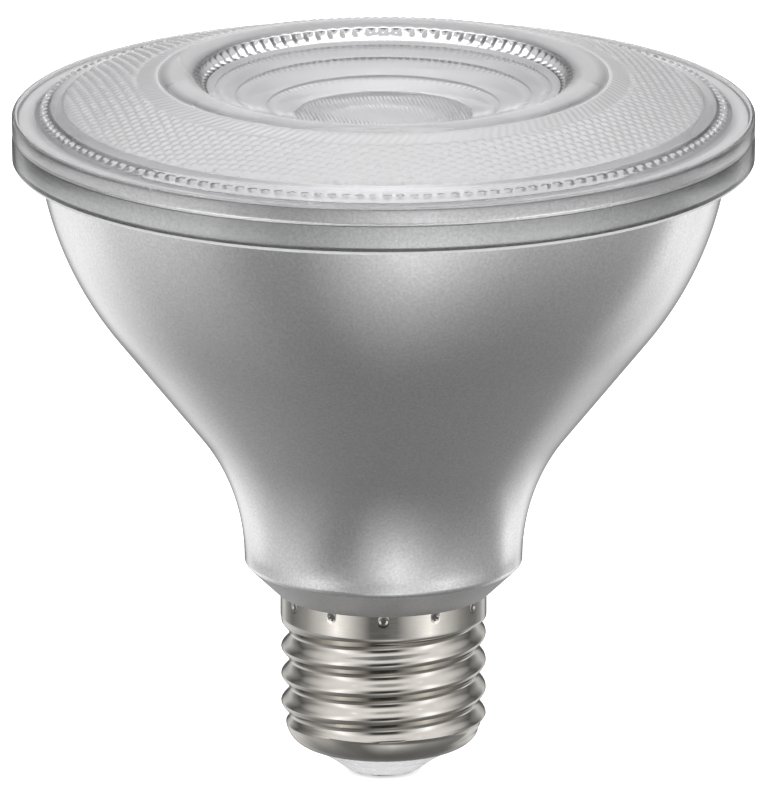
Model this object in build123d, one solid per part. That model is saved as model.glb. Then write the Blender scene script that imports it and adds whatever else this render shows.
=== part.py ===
"""LED reflector spotlight lamp: prism-ring lens, silvered glass body, driver and E27 screw cap.

The lamp's axis is Z. The tip of the centre contact is the origin, and the lens looks along +Z.
All sizes are in millimetres.
"""

import os
from math import asin, atan2, cos, degrees, pi, radians, sin, sqrt, tan

from build123d import *

# Clearances
slip_clearance = 0.1
bond_gap = 0.2
wire_clearance = 0.3

# Screw cap
cap_length = 24.15
shell_wall = 0.35
collar_radius = 13.25
collar_length = 3.4
thread_pitch = 3.629
thread_crest_radius = 13.15
thread_depth = 1.05
thread_top_crest = 18.4
thread_turns = 5
shell_edge_height = 3.85
shell_edge_radius = 10.0
shell_round_radius = 3.15
shell_round_start = 79.0
stake_count = 12
stake_radius = 0.55
stake_depth = 0.2
stake_drop = 0.7

# Insulator and centre contact
insulator_waist_radius = 6.9
insulator_waist_height = 2.1
insulator_tip_radius = 4.9
insulator_seat_rise = 1.6
insulator_seat_end = 45.0
contact_radius = 4.2
contact_thickness = 0.6
contact_crown = 0.25
contact_stem_radius = 1.7
contact_bore_radius = 0.9
contact_stem_rise = 0.5

# Glass body
body_wall = 2.2
body_height = 60.85
foot_radius = 13.9
neck_radius = 17.85
shoulder_round = 1.0
throat_radius = 27.0
cone_angle = 38.7
bowl_radius = 45.1
rim_radius = 47.5
rim_overhang = 3.4
body_flange_thickness = 3.8
flange_lip = 1.5
rim_edge_round = 0.5

# Lens seal
seal_inset = 2.5
seal_width = 1.0
seal_depth = 0.7

# Front lens
lens_flange_thickness = 2.3
lens_flange_width = 3.0
lens_bevel_width = 2.0
lens_bevel_rise = 0.9
lens_smooth_width = 1.3
lens_cone_width = 12.4
lens_cone_slope = 16.5
ridge_rise = 4.9
ridge_round = 1.0
land_width = 5.2
lip_round = 0.4
dish_step_insets = (1.3, 3.3, 5.7, 9.2)
dish_step_drop = 0.25
dish_slope = 18.5
dish_width = 12.2
lens_web_drop = 1.0
prism_count = 9
prism_inner_radius = 8.0
prism_margin = 1.5
prism_inner_height = 1.8
prism_outer_height = 4.4
prism_draft = 6.0
centre_lens_bulge = 1.6

# Heat sink, light source
pan_gap = 5.6
pan_floor = 2.0
pan_wall = 1.4
pan_depth = 8.0
thermal_pad_radius = 9.0
thermal_pad_thickness = 0.3
led_board_radius = 10.0
led_board_thickness = 1.2
emitter_radius = 4.6
emitter_thickness = 0.7
screw_ring_radius = 7.6
screw_shank_radius = 1.1
screw_head_radius = 2.0
screw_head_height = 1.4
screw_slot_width = 0.5
screw_slot_depth = 0.6

# Driver housing
housing_wall = 1.2
housing_rise = 20.25
sleeve_radius = 10.7
sleeve_bottom = 8.6
sleeve_floor = 1.2
live_hole_radius = 2.2
neutral_hole_radius = 0.9
lid_thickness = 1.2
rail_thickness = 1.0
rail_depth = 1.4
neck_bond_height = 3.5
neck_bond_rise = 7.35

# Driver board and the parts on it
board_thickness = 1.0
board_side_gap = 0.3
board_tongue_rise = 5.85
film_capacitor_size = (7.6, 5.0, 9.0)
film_edge_round = 0.6
film_offset = 5.0
electrolytic_radius = 4.0
electrolytic_length = 12.0
electrolytic_crimp = 0.35
electrolytic_offset = 5.2
transformer_width = 14.0
transformer_height = 11.0
transformer_core_depth = 4.0
transformer_leg = 1.8
transformer_coil_depth = 7.0
bobbin_wall = 0.7
choke_radius = 2.8
choke_height = 7.0
choke_flange = 1.2
choke_waist_radius = 1.4
choke_offset = 3.6
choke_base = 12.0
rectifier_size = (6.4, 2.5, 5.0)
rectifier_height = 25.0
chip_size = (4.0, 1.5, 5.0)
chip_leg_pitch = 1.27
chip_leg_reach = 1.0
chip_leg_thickness = 0.25
chip_leg_width = 0.45
chip_height = 17.5
fuse_radius = 1.6
fuse_length = 6.0
fuse_lead_radius = 0.35
fuse_lead_length = 1.4
fuse_offset = 4.0
fuse_height = 16.0
lead_radius = 0.6
lead_reach = 10.5
pan_hole_reach = 12.6
neutral_radius = 0.4
neutral_reach = 7.9
lead_bend = 1.6
lead_landing = 2.5

# Heights and radii that follow from the sizes above
flange_top = cap_length + body_height
flange_base = flange_top - body_flange_thickness
rim_top = flange_top + lens_flange_thickness
mouth_radius = rim_radius - rim_overhang
flange_bore_radius = mouth_radius - flange_lip
plug_radius = flange_bore_radius - slip_clearance
seal_groove_radius = rim_radius - seal_inset
lens_bevel_outer_radius = rim_radius - lens_flange_width
lens_bevel_inner_radius = lens_bevel_outer_radius - lens_bevel_width
lens_cone_outer_radius = lens_bevel_inner_radius - lens_smooth_width
ridge_radius = lens_cone_outer_radius - lens_cone_width
lip_radius = ridge_radius - land_width
disc_radius = lip_radius - dish_width
prism_outer_radius = plug_radius - prism_margin
collar_base = cap_length - collar_length
housing_top = cap_length + housing_rise
pan_height = housing_top + pan_gap
neck_bond_base = cap_length + neck_bond_rise
board_tongue_top = cap_length + board_tongue_rise
collar_bore = collar_radius - shell_wall
spigot_radius = collar_bore - slip_clearance
foot_bore = spigot_radius + slip_clearance
insulator_top = shell_edge_height + insulator_seat_rise
sleeve_bore = sleeve_radius - housing_wall
neck_bore = neck_radius - body_wall
tube_radius = neck_bore - 2 * bond_gap
tube_bore = tube_radius - housing_wall
lid_base = housing_top - lid_thickness
lens_valley = flange_top - lens_web_drop
stem_hole_radius = contact_stem_radius + slip_clearance
lead_hole_radius = lead_radius + wire_clearance
pan_top_face = pan_height + pan_floor
pad_top = pan_top_face + thermal_pad_thickness
led_board_top = pad_top + led_board_thickness
board_face = board_thickness / 2
lead_line = -board_face - lead_radius
neutral_line = board_face + neutral_radius
thread_root_bore = thread_crest_radius - thread_depth - shell_wall
neutral_shell_reach = (sleeve_radius + thread_root_bore) / 2
transformer_middle = (
    0,
    -board_face - transformer_coil_depth / 2,
    board_tongue_top + transformer_height / 2,
)
choke_place = Pos(-choke_offset, board_face + choke_radius, choke_base)


def polar(centre, radius, angle):
    """Point at an angle, in degrees, on a circle drawn in radius and height."""
    return (centre[0] + radius * cos(radians(angle)), centre[1] + radius * sin(radians(angle)))


def arc(centre, radius, start, end):
    """Arc of a circle in radius and height, from one angle to another, in degrees."""
    middle = polar(centre, radius, (start + end) / 2)
    return ThreePointArc(polar(centre, radius, start), middle, polar(centre, radius, end))


def outline(*pieces):
    """Closed face from points and arcs in order, with straight lines between what doesn't meet."""
    edges = []
    ends = []
    for piece in pieces:
        if isinstance(piece, tuple):
            ends.append((Vector(*piece), Vector(*piece)))
        else:
            ends.append((piece @ 0, piece @ 1))
            edges.append(piece)
    for (_, leave), (reach, _) in zip(ends, ends[1:] + ends[:1]):
        if (leave - reach).length > 1e-6:
            edges.append(Line(leave, reach))
    return make_face(Curve() + edges)


def turned(face):
    """Solid made by turning an outline of radius and height once about the lamp's axis."""
    return revolve(Plane.XZ * face, Axis.Z)


def tube(outer, inner, base, top):
    """Plain ring between two radii and two heights."""
    return turned(outline((inner, base), (outer, base), (outer, top), (inner, top)))


def disc(radius, base, top):
    """Plain round plate on the axis."""
    return Pos(0, 0, base) * Cylinder(radius, top - base, align=(Align.CENTER, Align.CENTER, Align.MIN))


def block(size, centre):
    """Rectangular block about a centre."""
    return Pos(*centre) * Box(*size)


def rod(radius, base, top, x, y):
    """Upright round bar at a place beside the axis."""
    return Pos(x, y, 0) * disc(radius, base, top)


# The body's outline: shoulder, throat arc, straight cone and bowl arc, each tangent to the next.
shoulder_top = cap_length + neck_radius - foot_radius + shoulder_round * tan(pi / 8)
throat_centre = (neck_radius + throat_radius, shoulder_top)
cone_start = polar(throat_centre, throat_radius, 180 - cone_angle)
cone_direction = (sin(radians(cone_angle)), cos(radians(cone_angle)))
cone_normal = (cos(radians(cone_angle)), -sin(radians(cone_angle)))


def find_bowl_centre():
    """Centre of the bowl arc, which touches the cone and passes through the mouth under the flange."""
    from_mouth = (
        cone_start[0] - bowl_radius * cone_normal[0] - mouth_radius,
        cone_start[1] - bowl_radius * cone_normal[1] - flange_base,
    )
    along = from_mouth[0] * cone_direction[0] + from_mouth[1] * cone_direction[1]
    square = from_mouth[0] ** 2 + from_mouth[1] ** 2 - bowl_radius**2
    travel = -along - sqrt(along**2 - square)
    return (
        mouth_radius + from_mouth[0] + travel * cone_direction[0],
        flange_base + from_mouth[1] + travel * cone_direction[1],
    )


bowl_centre = find_bowl_centre()


def bowl_angle(radius, height):
    """Angle on a bowl arc of the given radius where it reaches a height, in degrees."""
    rise = height - bowl_centre[1]
    return degrees(atan2(rise, sqrt(radius**2 - rise**2)))


def glass_inside(height):
    """Radius of the glass's inner face on its straight cone at a height."""
    start = polar(throat_centre, throat_radius + body_wall, 180 - cone_angle)
    return start[0] + (height - start[1]) * tan(radians(cone_angle))

shell_round_centre = (
    shell_edge_radius - shell_round_radius * cos(radians(shell_round_start)),
    shell_edge_height + shell_round_radius * sin(radians(shell_round_start)),
)
shell_edge_bore = shell_edge_radius - shell_wall * cos(radians(shell_round_start))


def foot_slope(radius):
    """Height of the glass's inner face on the slope between foot and neck."""
    return cap_length + radius - foot_radius + body_wall


def housing_slope(radius):
    """Height of the housing's outer face on the same slope, a bond gap inside the glass."""
    return foot_slope(radius) + bond_gap * sqrt(2)


def make_glass_body():
    """Pressed glass bowl with a neck, an open foot and a thick flange grooved for the seal."""
    inner_bowl = bowl_radius - body_wall
    shoulder_centre = (neck_radius - shoulder_round, shoulder_top)
    mouth_bore = bowl_centre[0] + inner_bowl * cos(radians(bowl_angle(inner_bowl, flange_base)))
    rim_corner = rim_radius - rim_edge_round
    plug_seat = lens_valley - slip_clearance
    groove_outer = seal_groove_radius + seal_width / 2
    groove_inner = seal_groove_radius - seal_width / 2
    profile = outline(
        (foot_bore, cap_length),
        (foot_radius, cap_length),
        arc(shoulder_centre, shoulder_round, -45, 0),
        arc(throat_centre, throat_radius, 180, 180 - cone_angle),
        arc(bowl_centre, bowl_radius, -cone_angle, bowl_angle(bowl_radius, flange_base)),
        arc((rim_corner, flange_base + rim_edge_round), rim_edge_round, -90, 0),
        (rim_radius, flange_top),
        (groove_outer, flange_top),
        (groove_outer, flange_top - seal_depth),
        (groove_inner, flange_top - seal_depth),
        (groove_inner, flange_top),
        (flange_bore_radius, flange_top),
        (flange_bore_radius, plug_seat),
        (mouth_bore, flange_base),
        arc(bowl_centre, inner_bowl, bowl_angle(inner_bowl, flange_base), -cone_angle),
        arc(throat_centre, throat_radius + body_wall, 180 - cone_angle, 180),
        (neck_bore, foot_slope(neck_bore)),
        (foot_bore, foot_slope(foot_bore)),
    )
    return turned(profile)


def make_lens_seal():
    """Silicone ring that fills the groove of the body flange under the lens."""
    outer = seal_groove_radius + seal_width / 2
    return tube(outer, outer - seal_width, flange_top - seal_depth, flange_top)


def prism_ring_points():
    """Saw-tooth underside of the lens from the inside out: a steep face down, a sloping face up."""
    pitch = (prism_outer_radius - prism_inner_radius) / prism_count
    points = []
    for index in range(prism_count):
        share = index / (prism_count - 1)
        height = prism_inner_height + share * (prism_outer_height - prism_inner_height)
        inner = prism_inner_radius + index * pitch
        points.append((inner + height * tan(radians(prism_draft)), lens_valley - height))
        points.append((inner + pitch, lens_valley))
    return points


def dish_points(radius, height):
    """Front of the dish from the lip inwards: short ring steps between gentle slopes."""
    fall = tan(radians(dish_slope))
    points = []
    for step_inset in dish_step_insets:
        step_radius = lip_radius - step_inset
        height -= (radius - step_radius) * fall
        points.append((step_radius, height))
        height -= dish_step_drop
        points.append((step_radius, height))
        radius = step_radius
    height -= (radius - disc_radius) * fall
    return points + [(disc_radius, height), (0, height)]


def make_front_lens():
    """Clear moulded lens: flange, bevel, outer cone, flat ridge, stepped dish and prism rings behind."""
    rim_corner = rim_radius - rim_edge_round
    ridge_top = rim_top + ridge_rise
    ridge = arc((ridge_radius, ridge_top - ridge_round), ridge_round, 90 - lens_cone_slope, 90)
    lip = arc((lip_radius, ridge_top - lip_round), lip_round, 90, 90 + dish_slope)
    ridge_foot = ridge @ 0
    lip_foot = lip @ 1
    cone_drop = (lens_cone_outer_radius - ridge_foot.X) * tan(radians(lens_cone_slope))
    bulge_curve = (prism_inner_radius**2 + centre_lens_bulge**2) / (2 * centre_lens_bulge)
    bulge_centre = (0, lens_valley - centre_lens_bulge + bulge_curve)
    bulge_reach = degrees(asin(prism_inner_radius / bulge_curve))
    profile = outline(
        (plug_radius, flange_top),
        (rim_radius, flange_top),
        arc((rim_corner, rim_top - rim_edge_round), rim_edge_round, 0, 90),
        (lens_bevel_outer_radius, rim_top),
        (lens_bevel_inner_radius, rim_top + lens_bevel_rise),
        (lens_cone_outer_radius, ridge_foot.Y - cone_drop),
        ridge,
        lip,
        *dish_points(lip_foot.X, lip_foot.Y),
        arc(bulge_centre, bulge_curve, -90, bulge_reach - 90),
        *prism_ring_points(),
        (plug_radius, lens_valley),
    )
    return turned(profile)


def thread_body(radius, top):
    """Knuckle thread: a level disc whose centre climbs a helix half a thread depth wide."""
    base = thread_top_crest - thread_turns * thread_pitch
    offset = thread_depth / 2
    path = Helix(thread_pitch, top - base, offset, center=(0, 0, base))
    return sweep(Pos(offset, 0, base) * Circle(radius), path=path, normal=(0, 0, 1))


def cap_form(inset):
    """Outer form of the screw shell, moved inwards by an inset: rounded end, thread and collar."""
    round_radius = shell_round_radius - inset
    round_top = polar(shell_round_centre, round_radius, 0)
    crest_reach = thread_crest_radius + thread_depth - inset
    limit = outline(
        (0, shell_round_centre[1] - round_radius * sin(radians(shell_round_start))),
        arc(shell_round_centre, round_radius, -shell_round_start, 0),
        (crest_reach, round_top[1] + crest_reach - round_top[0]),
        (crest_reach, cap_length),
        (0, cap_length),
    )
    mean_radius = thread_crest_radius - thread_depth / 2
    thread = thread_body(mean_radius - inset, collar_base + thread_pitch / 3) & turned(limit)
    return thread + disc(collar_radius - inset, collar_base + inset, cap_length)


def make_screw_shell():
    """Thin rolled screw shell with an open lower end and a ring of punched staking marks."""
    shell = cap_form(0) - cap_form(shell_wall)
    shell -= disc(shell_edge_bore, 0, shell_edge_height + 2 * shell_wall)
    mark_reach = collar_radius + stake_radius - stake_depth
    mark = Pos(mark_reach, 0, cap_length - stake_drop) * Sphere(stake_radius)
    marks = [Rot(0, 0, index * 360 / stake_count) * mark for index in range(stake_count)]
    return shell - marks


def make_cap_insulator():
    """White cone that seats in the rounded end of the shell and carries the contact."""
    seat_radius = shell_round_radius - shell_wall - slip_clearance
    seat = arc(shell_round_centre, seat_radius, -shell_round_start, -insulator_seat_end)
    profile = outline(
        (stem_hole_radius, contact_thickness),
        (insulator_tip_radius, contact_thickness),
        (insulator_waist_radius, insulator_waist_height),
        (shell_edge_bore - slip_clearance, shell_edge_height),
        seat,
        ((seat @ 1).X, insulator_top),
        (stem_hole_radius, insulator_top),
    )
    return turned(profile)


def make_centre_contact():
    """Crowned contact plate with a hollow stem for the live wire."""
    crown_curve = (contact_radius**2 + contact_crown**2) / (2 * contact_crown)
    crown_reach = degrees(asin(contact_radius / crown_curve))
    stem_top = insulator_top + contact_stem_rise
    profile = outline(
        arc((0, crown_curve), crown_curve, -90, crown_reach - 90),
        (contact_radius, contact_thickness),
        (contact_stem_radius, contact_thickness),
        (contact_stem_radius, stem_top),
        (contact_bore_radius, stem_top),
        (contact_bore_radius, 2 * contact_thickness),
        (0, 2 * contact_thickness),
    )
    return turned(profile)


def make_heat_sink():
    """Pressed aluminium pan that lies against the glass cone and carries the LED board."""
    gap = bond_gap / cos(radians(cone_angle))
    wall = pan_wall / cos(radians(cone_angle))
    pan_top = pan_height + pan_depth
    profile = outline(
        (0, pan_height),
        (glass_inside(pan_height) - gap, pan_height),
        (glass_inside(pan_top) - gap, pan_top),
        (glass_inside(pan_top) - gap - wall, pan_top),
        (glass_inside(pan_top_face) - gap - wall, pan_top_face),
        (0, pan_top_face),
    )
    pan = turned(profile) - screw_holes(pan_height, pan_top_face)
    for side in (-1, 1):
        pan -= rod(lead_hole_radius, pan_height, pan_top_face, side * pan_hole_reach, lead_line)
    return pan


def screw_places():
    """The two places of the board screws, across the board's middle."""
    return [(0, screw_ring_radius), (0, -screw_ring_radius)]


def screw_holes(base, top):
    """Clearance holes for the board screws between two heights."""
    return [rod(screw_shank_radius + slip_clearance, base, top, x, y) for x, y in screw_places()]


def make_thermal_pad():
    """Soft pad between pan and LED board."""
    return disc(thermal_pad_radius, pan_top_face, pad_top) - screw_holes(pan_top_face, pad_top)


def make_led_board():
    """Round metal-core board."""
    return disc(led_board_radius, pad_top, led_board_top) - screw_holes(pad_top, led_board_top)


def make_led_emitter():
    """Phosphor disc of the light source, with a rounded edge."""
    plate = disc(emitter_radius, led_board_top, led_board_top + emitter_thickness)
    return fillet(plate.faces().sort_by(Axis.Z)[-1].edges(), emitter_thickness / 2)


def make_board_screw(x, y):
    """One pan-head screw with a cross recess, its shank through board, pad and pan floor."""
    head_top = led_board_top + screw_head_height
    head = rod(screw_head_radius, led_board_top, head_top, x, y)
    head = fillet(head.faces().sort_by(Axis.Z)[-1].edges(), screw_head_height / 2)
    recess_middle = (x, y, head_top - screw_slot_depth / 2)
    for size in ((screw_head_radius, screw_slot_width), (screw_slot_width, screw_head_radius)):
        head -= block((*size, screw_slot_depth), recess_middle)
    return head + rod(screw_shank_radius, pan_height, led_board_top, x, y)


def make_board_screws():
    """Both screws of the LED board as one group."""
    return Compound([make_board_screw(x, y).solid() for x, y in screw_places()])


def make_driver_housing():
    """Plastic housing: sleeve in the cap, spigot under the staking marks, tube in the glass neck."""
    spigot_base = collar_base + 2 * shell_wall
    corner = housing_wall * tan(pi / 8)
    spigot_bore = spigot_radius - housing_wall
    rail_base = housing_slope(tube_bore) + corner
    floor_top = sleeve_bottom + sleeve_floor
    profile = outline(
        (live_hole_radius, sleeve_bottom),
        (sleeve_radius, sleeve_bottom),
        (sleeve_radius, spigot_base),
        (spigot_radius, spigot_base),
        (spigot_radius, housing_slope(spigot_radius)),
        (tube_radius, housing_slope(tube_radius)),
        (tube_radius, housing_top),
        (tube_bore, housing_top),
        (tube_bore, housing_slope(tube_radius) + corner),
        (spigot_bore, housing_slope(spigot_radius) + corner),
        (spigot_bore, spigot_base + housing_wall),
        (sleeve_bore, spigot_base + housing_wall),
        (sleeve_bore, floor_top),
        (live_hole_radius, floor_top),
    )
    housing = turned(profile)
    rail_height = lid_base - rail_base
    rail_middle = rail_base + rail_height / 2
    rail_offset = board_face + slip_clearance + rail_thickness / 2
    rails = []
    for side in (-1, 1):
        for face in (-1, 1):
            centre = (side * tube_bore, face * rail_offset, rail_middle)
            rails.append(block((2 * rail_depth, rail_thickness, rail_height), centre))
    rail_reach = disc(tube_bore + housing_wall / 2, rail_base, lid_base)
    housing += (Part() + rails) & rail_reach
    return housing - rod(neutral_hole_radius, sleeve_bottom, floor_top, -neutral_reach, neutral_line)


def make_housing_lid():
    """Lid that lies on the housing's rails, with two holes for the LED leads."""
    lid = disc(tube_bore - slip_clearance, lid_base, housing_top)
    for side in (-1, 1):
        lid -= rod(lead_hole_radius, lid_base, housing_top, side * lead_reach, lead_line)
    return lid


def make_neck_bond():
    """Adhesive ring between the housing's tube and the glass throat."""
    throat = throat_radius + body_wall + slip_clearance
    low = 180 - degrees(asin((neck_bond_base - throat_centre[1]) / throat))
    high = 180 - degrees(asin((neck_bond_base + neck_bond_height - throat_centre[1]) / throat))
    inner = tube_radius + slip_clearance
    profile = outline(
        (inner, neck_bond_base),
        arc(throat_centre, throat, low, high),
        (inner, neck_bond_base + neck_bond_height),
    )
    return turned(profile)


def make_driver_board():
    """Circuit board with a narrow tongue in the sleeve and wide shoulders in the housing's rails."""
    tongue = sqrt(sleeve_bore**2 - board_face**2) - board_side_gap
    shoulder = sqrt(tube_bore**2 - board_face**2) - board_side_gap
    base = sleeve_bottom + sleeve_floor + slip_clearance
    top = lid_base - slip_clearance
    face = Polyline(
        (-tongue, base),
        (tongue, base),
        (tongue, board_tongue_top),
        (shoulder, board_tongue_top),
        (shoulder, top),
        (-shoulder, top),
        (-shoulder, board_tongue_top),
        (-tongue, board_tongue_top),
        close=True,
    )
    return extrude(Plane.XZ * make_face(face), board_face, both=True)


def make_electrolytic_capacitor():
    """Can with a rolled groove near its foot, lying along the board."""
    reach = electrolytic_radius
    foot = electrolytic_length / 8
    can = outline(
        (0, 0),
        (reach, 0),
        (reach, foot),
        arc((reach, foot + electrolytic_crimp), electrolytic_crimp, 270, 90),
        (reach, electrolytic_length - electrolytic_crimp),
        arc(
            (reach - electrolytic_crimp, electrolytic_length - electrolytic_crimp),
            electrolytic_crimp,
            0,
            90,
        ),
        (0, electrolytic_length),
    )
    place = Pos(-electrolytic_offset, board_face + electrolytic_radius, board_tongue_top)
    return place * turned(can)


def make_film_capacitor():
    """Moulded box capacitor with rounded edges."""
    width, depth, height = film_capacitor_size
    centre = (film_offset, board_face + depth / 2, board_tongue_top + electrolytic_length / 2)
    box = block((width, depth, height), centre)
    return fillet(box.edges().filter_by(Axis.Y), film_edge_round)


def make_transformer_core():
    """Ferrite core: outer frame with a middle leg, and a window on each side of it."""
    frame = block((transformer_width, transformer_core_depth, transformer_height), transformer_middle)
    window_width = transformer_width / 2 - 1.5 * transformer_leg
    window_height = transformer_height - 2 * transformer_leg
    window_shift = (transformer_leg + window_width) / 2
    window = block((window_width, transformer_core_depth, window_height), transformer_middle)
    return frame - [Pos(side * window_shift, 0, 0) * window for side in (-1, 1)]


def coil_blank(inset, height):
    """Upright block round the transformer's middle leg, as wide and deep as the coil less an inset."""
    width = transformer_width - 2 * transformer_leg - 2 * bobbin_wall
    size = (width - 2 * inset, transformer_coil_depth - 2 * inset, height)
    return block(size, transformer_middle)


def leg_sleeve(gap, height):
    """Block as large as the core's middle leg with a gap on every side."""
    size = (transformer_leg + 2 * gap, transformer_core_depth + 2 * gap, height)
    return block(size, transformer_middle)


def make_transformer_bobbin():
    """Bobbin: a square tube on the middle leg with a flange at each end, its back resting on the board."""
    height = transformer_height - 2 * transformer_leg - 2 * slip_clearance
    flange = (height - bobbin_wall) / 2
    bobbin = leg_sleeve(slip_clearance + bobbin_wall, height)
    for side in (-1, 1):
        bobbin += Pos(0, 0, side * flange) * coil_blank(0, bobbin_wall)
    return bobbin - leg_sleeve(slip_clearance, height)


def make_transformer_winding():
    """Taped winding between the bobbin's flanges, with rounded corners."""
    height = transformer_height - 2 * transformer_leg - 2 * bobbin_wall - 4 * slip_clearance
    coil = coil_blank(2 * slip_clearance, height)
    coil = fillet(coil.edges().filter_by(Axis.Z), bobbin_wall)
    return coil - leg_sleeve(2 * slip_clearance + bobbin_wall, height)


def make_choke_core():
    """Drum core with a flange at each end."""
    top = choke_height
    profile = outline(
        (0, 0),
        (choke_radius, 0),
        (choke_radius, choke_flange),
        (choke_waist_radius, choke_flange),
        (choke_waist_radius, top - choke_flange),
        (choke_radius, top - choke_flange),
        (choke_radius, top),
        (0, top),
    )
    return choke_place * turned(profile)


def make_choke_winding():
    """Wire winding that fills the drum's waist."""
    inner = choke_waist_radius + slip_clearance
    outer = choke_radius - slip_clearance
    return choke_place * tube(outer, inner, choke_flange, choke_height - choke_flange)


def make_bridge_rectifier():
    """Flat rectifier package with a bevelled edge."""
    depth = rectifier_size[1]
    package = block(rectifier_size, (0, -board_face - depth / 2, rectifier_height))
    return chamfer(package.faces().sort_by(Axis.Y)[0].edges(), depth / 5)


def make_control_chip():
    """Control chip: moulded body and four flat legs a side that stand on the board."""
    width, depth, height = chip_size
    body = block((width, depth, height), (0, -board_face - chip_leg_thickness - depth / 2, chip_height))
    body = chamfer(body.faces().sort_by(Axis.Y)[0].edges(), depth / 5)
    leg_depth = depth / 2 + chip_leg_thickness
    legs = []
    for side in (-1, 1):
        for row in range(4):
            z = chip_height + (row - 1.5) * chip_leg_pitch
            root = side * (width / 2 + chip_leg_thickness / 2)
            toe = side * (width / 2 + chip_leg_reach / 2)
            leg_size = (chip_leg_thickness, leg_depth, chip_leg_width)
            toe_size = (chip_leg_reach, chip_leg_thickness, chip_leg_width)
            legs.append(block(leg_size, (root, -board_face - leg_depth / 2, z)))
            legs.append(block(toe_size, (toe, -board_face - chip_leg_thickness / 2, z)))
    return body + legs


def make_fuse_resistor():
    """Round fusible resistor with a bent lead at each end that goes to the board."""
    y = board_face + fuse_radius + slip_clearance
    base = fuse_height - fuse_length / 2
    top = fuse_height + fuse_length / 2
    body = rod(fuse_radius, base, top, fuse_offset, y)
    body = fillet(body.edges().filter_by(GeomType.CIRCLE), fuse_radius / 4)
    for end, way in ((base, -1), (top, 1)):
        bend = end + way * fuse_lead_length
        route = ((fuse_offset, y, end), (fuse_offset, y, bend), (fuse_offset, board_face, bend))
        body += wire(route, fuse_lead_radius, fuse_lead_radius * 2)
    return body


def wire(route, radius, bend):
    """Round wire along straight runs joined by tangent arcs."""
    path = FilletPolyline(*route, radius=bend)
    return sweep(Plane(path @ 0, z_dir=path % 0) * Circle(radius), path=path)


def make_led_lead(side):
    """Lead from the driver board through the lid and the pan to its pad on the LED board."""
    x = side * lead_reach
    pan_x = side * pan_hole_reach
    pad_height = led_board_top + lead_radius
    rise = abs(pan_hole_reach - lead_reach)
    turn = pan_height - 2 * lead_bend
    route = (
        (x, lead_line, lid_base - lead_landing),
        (x, lead_line, turn - rise),
        (pan_x, lead_line, turn),
        (pan_x, lead_line, pad_height),
        (side * (led_board_radius - lead_bend), lead_line, pad_height),
    )
    return wire(route, lead_radius, lead_bend)


def make_live_wire():
    """Lead from the board's foot through the housing floor into the contact's stem."""
    stem_top = insulator_top + contact_stem_rise
    route = (
        (0, lead_line, sleeve_bottom + sleeve_floor + lead_landing),
        (0, lead_line, sleeve_bottom - wire_clearance),
        (0, 0, stem_top + wire_clearance),
        (0, 0, contact_thickness * 2 + wire_clearance),
    )
    return wire(route, lead_radius, lead_bend)


def make_neutral_wire():
    """Bare lead from the board's foot round the sleeve's edge and up between sleeve and shell."""
    low = sleeve_bottom - 2 * neutral_radius - wire_clearance
    route = (
        (-neutral_reach, neutral_line, sleeve_bottom + sleeve_floor + lead_landing),
        (-neutral_reach, neutral_line, low),
        (-neutral_shell_reach, neutral_line, low),
        (-neutral_shell_reach, neutral_line, collar_base),
    )
    return wire(route, neutral_radius, 2 * neutral_radius)


pieces = {
    "front_lens": make_front_lens(),
    "glass_body": make_glass_body(),
    "lens_seal": make_lens_seal(),
    "heat_sink": make_heat_sink(),
    "thermal_pad": make_thermal_pad(),
    "led_board": make_led_board(),
    "led_emitter": make_led_emitter(),
    "board_screws": make_board_screws(),
    "led_lead_positive": make_led_lead(1),
    "led_lead_negative": make_led_lead(-1),
    "driver_housing": make_driver_housing(),
    "housing_lid": make_housing_lid(),
    "neck_bond": make_neck_bond(),
    "driver_board": make_driver_board(),
    "electrolytic_capacitor": make_electrolytic_capacitor(),
    "film_capacitor": make_film_capacitor(),
    "transformer_core": make_transformer_core(),
    "transformer_bobbin": make_transformer_bobbin(),
    "transformer_winding": make_transformer_winding(),
    "choke_core": make_choke_core(),
    "choke_winding": make_choke_winding(),
    "bridge_rectifier": make_bridge_rectifier(),
    "control_chip": make_control_chip(),
    "fuse_resistor": make_fuse_resistor(),
    "live_wire": make_live_wire(),
    "neutral_wire": make_neutral_wire(),
    "screw_shell": make_screw_shell(),
    "cap_insulator": make_cap_insulator(),
    "centre_contact": make_centre_contact(),
}

os.makedirs("parts", exist_ok=True)
for name, shape in pieces.items():
    export_step(shape, f"parts/{name}.step")
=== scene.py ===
"""Looks of the reflector spotlight lamp: clear moulded lens, silvered glass body and nickel screw cap.

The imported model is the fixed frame, in metres. The tip of the centre contact is the origin and the lens
looks along +Z. The lens, the glass body and the screw cap are replaced by finer meshes. Their main sizes
repeat those of the part's source. The crown, the dish, the staking marks and the fine relief are shaped
here. Sizes of the lamp are in millimetres, and become metres when a mesh is made.
"""

import math

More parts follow.
